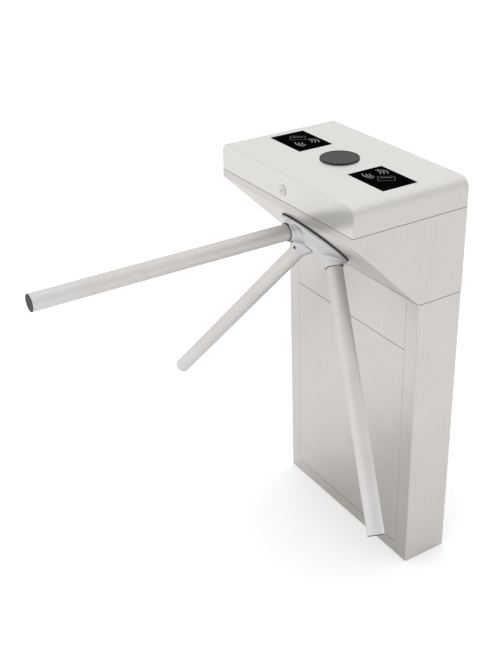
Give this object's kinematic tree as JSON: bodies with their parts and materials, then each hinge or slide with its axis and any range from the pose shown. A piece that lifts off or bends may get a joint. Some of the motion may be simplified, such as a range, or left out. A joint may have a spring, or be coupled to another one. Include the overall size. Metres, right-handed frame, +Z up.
{
  "type": "visitor counter turnstile",
  "caption": "Tripod turnstile: slim stainless pedestal with a sloped overhanging head, lift-up lid with card readers, and a spinning hub with three angled arms.",
  "frame": {"origin": "centre of the floor anchor pattern in the underside of the base plate, which is the centre of the pedestal footprint on the floor", "axes": "+X along the cabinet, the walking direction; -Y across the passage, where the blocking arm points; +Z up"},
  "size_m": [0.9044, 0.9095, 1.004],
  "materials": {
    "cabinet_sheet": "fine brushed stainless sheet",
    "lid_sheet": "satin stainless sheet",
    "arm_stainless": "brushed stainless tube",
    "cast_aluminium": "bead-blasted aluminium casting",
    "machined_steel": "turned and ground steel",
    "zinc_steel": "zinc-plated steel plate",
    "dark_metal": "blackened steel",
    "plated_zinc": "plated zinc die casting",
    "window_acrylic": "polished black acrylic",
    "smoked_lens": "smoked polycarbonate",
    "black_plastic": "moulded black plastic",
    "black_rubber": "matt black rubber",
    "printed_mark": "white screen print",
    "circuit_board": "solder-masked glass fibre board"
  },
  "bodies": {
    "cabinet": {"base_plate": "zinc_steel", "pedestal_side_left": "cabinet_sheet", "pedestal_side_right": "cabinet_sheet", "pedestal_back_panel": "cabinet_sheet", "pedestal_upper_panel": "cabinet_sheet", "service_panel": "cabinet_sheet", "plinth_strip": "cabinet_sheet", "rear_stiffener": "zinc_steel", "head_frame": "zinc_steel", "head_cheek_left": "cabinet_sheet", "head_cheek_right": "cabinet_sheet", "head_slope_plate": "cabinet_sheet", "head_back_panel": "cabinet_sheet", "head_rim_frame": "cabinet_sheet", "lid_gasket": "black_rubber", "lid_catch": "zinc_steel", "hub_seal_ring": "black_rubber", "mech_plate": "zinc_steel", "mech_standoffs": "zinc_steel", "bearing_housing": "cast_aluminium", "front_bearing": "machined_steel", "rear_bearing": "machined_steel", "rear_plate": "zinc_steel", "rear_pillars": "machined_steel", "brake_coil": "black_plastic", "drive_motor": "dark_metal", "motor_bracket": "zinc_steel", "count_sensors": "black_plastic", "power_supply": "cast_aluminium", "backup_battery": "black_plastic", "control_board": "circuit_board", "hinge_leaf_cabinet": "machined_steel", "hinge_pin": "machined_steel"},
    "lid": {"lid_shell": "lid_sheet", "reader_window_left": "window_acrylic", "reader_window_right": "window_acrylic", "reader_board_left": "circuit_board", "reader_board_right": "circuit_board", "indicator_lens": "smoked_lens", "indicator_bezel": "black_plastic", "indicator_board": "circuit_board", "hinge_leaf_lid": "machined_steel", "lock_barrel": "plated_zinc", "lock_nut": "zinc_steel"},
    "lock": {"lock_plug": "plated_zinc", "lock_cam": "zinc_steel"},
    "rotor": {"hub_casting": "cast_aluminium", "hub_cap": "cast_aluminium", "hub_bolt": "dark_metal", "arm_tube_a": "arm_stainless", "arm_tube_b": "arm_stainless", "arm_tube_c": "arm_stainless", "arm_plugs": "black_plastic", "socket_seals": "black_rubber", "clamp_screws": "dark_metal", "main_shaft": "machined_steel", "main_gear": "machined_steel", "index_disc": "dark_metal", "brake_armature": "dark_metal"},
    "pinion": {"drive_pinion": "machined_steel"}
  },
  "joints": [
    {"name": "rotor_spin", "type": "hinge", "parent": "cabinet", "child": "rotor", "pos_m": [0, -0.15739, 0.82689], "axis": [0, -0.7071, -0.7071], "continuous": true},
    {"name": "pinion_spin", "type": "hinge", "parent": "cabinet", "child": "pinion", "pos_m": [0.065, -0.15739, 0.82689], "axis": [0, -0.7071, -0.7071], "continuous": true},
    {"name": "lid_hinge", "type": "hinge", "parent": "cabinet", "child": "lid", "pos_m": [0, 0.0659, 0.9349], "axis": [-1, 0, 0], "range_deg": [0, 95]},
    {"name": "lock_turn", "type": "hinge", "parent": "lid", "child": "lock", "pos_m": [0, -0.2455, 0.959], "axis": [0, -1, 0], "range_deg": [0, 90]}
  ],
  "couplings": [
    {"joint": "pinion_spin", "follows": "rotor_spin", "ratio": -3.3333}
  ]
}
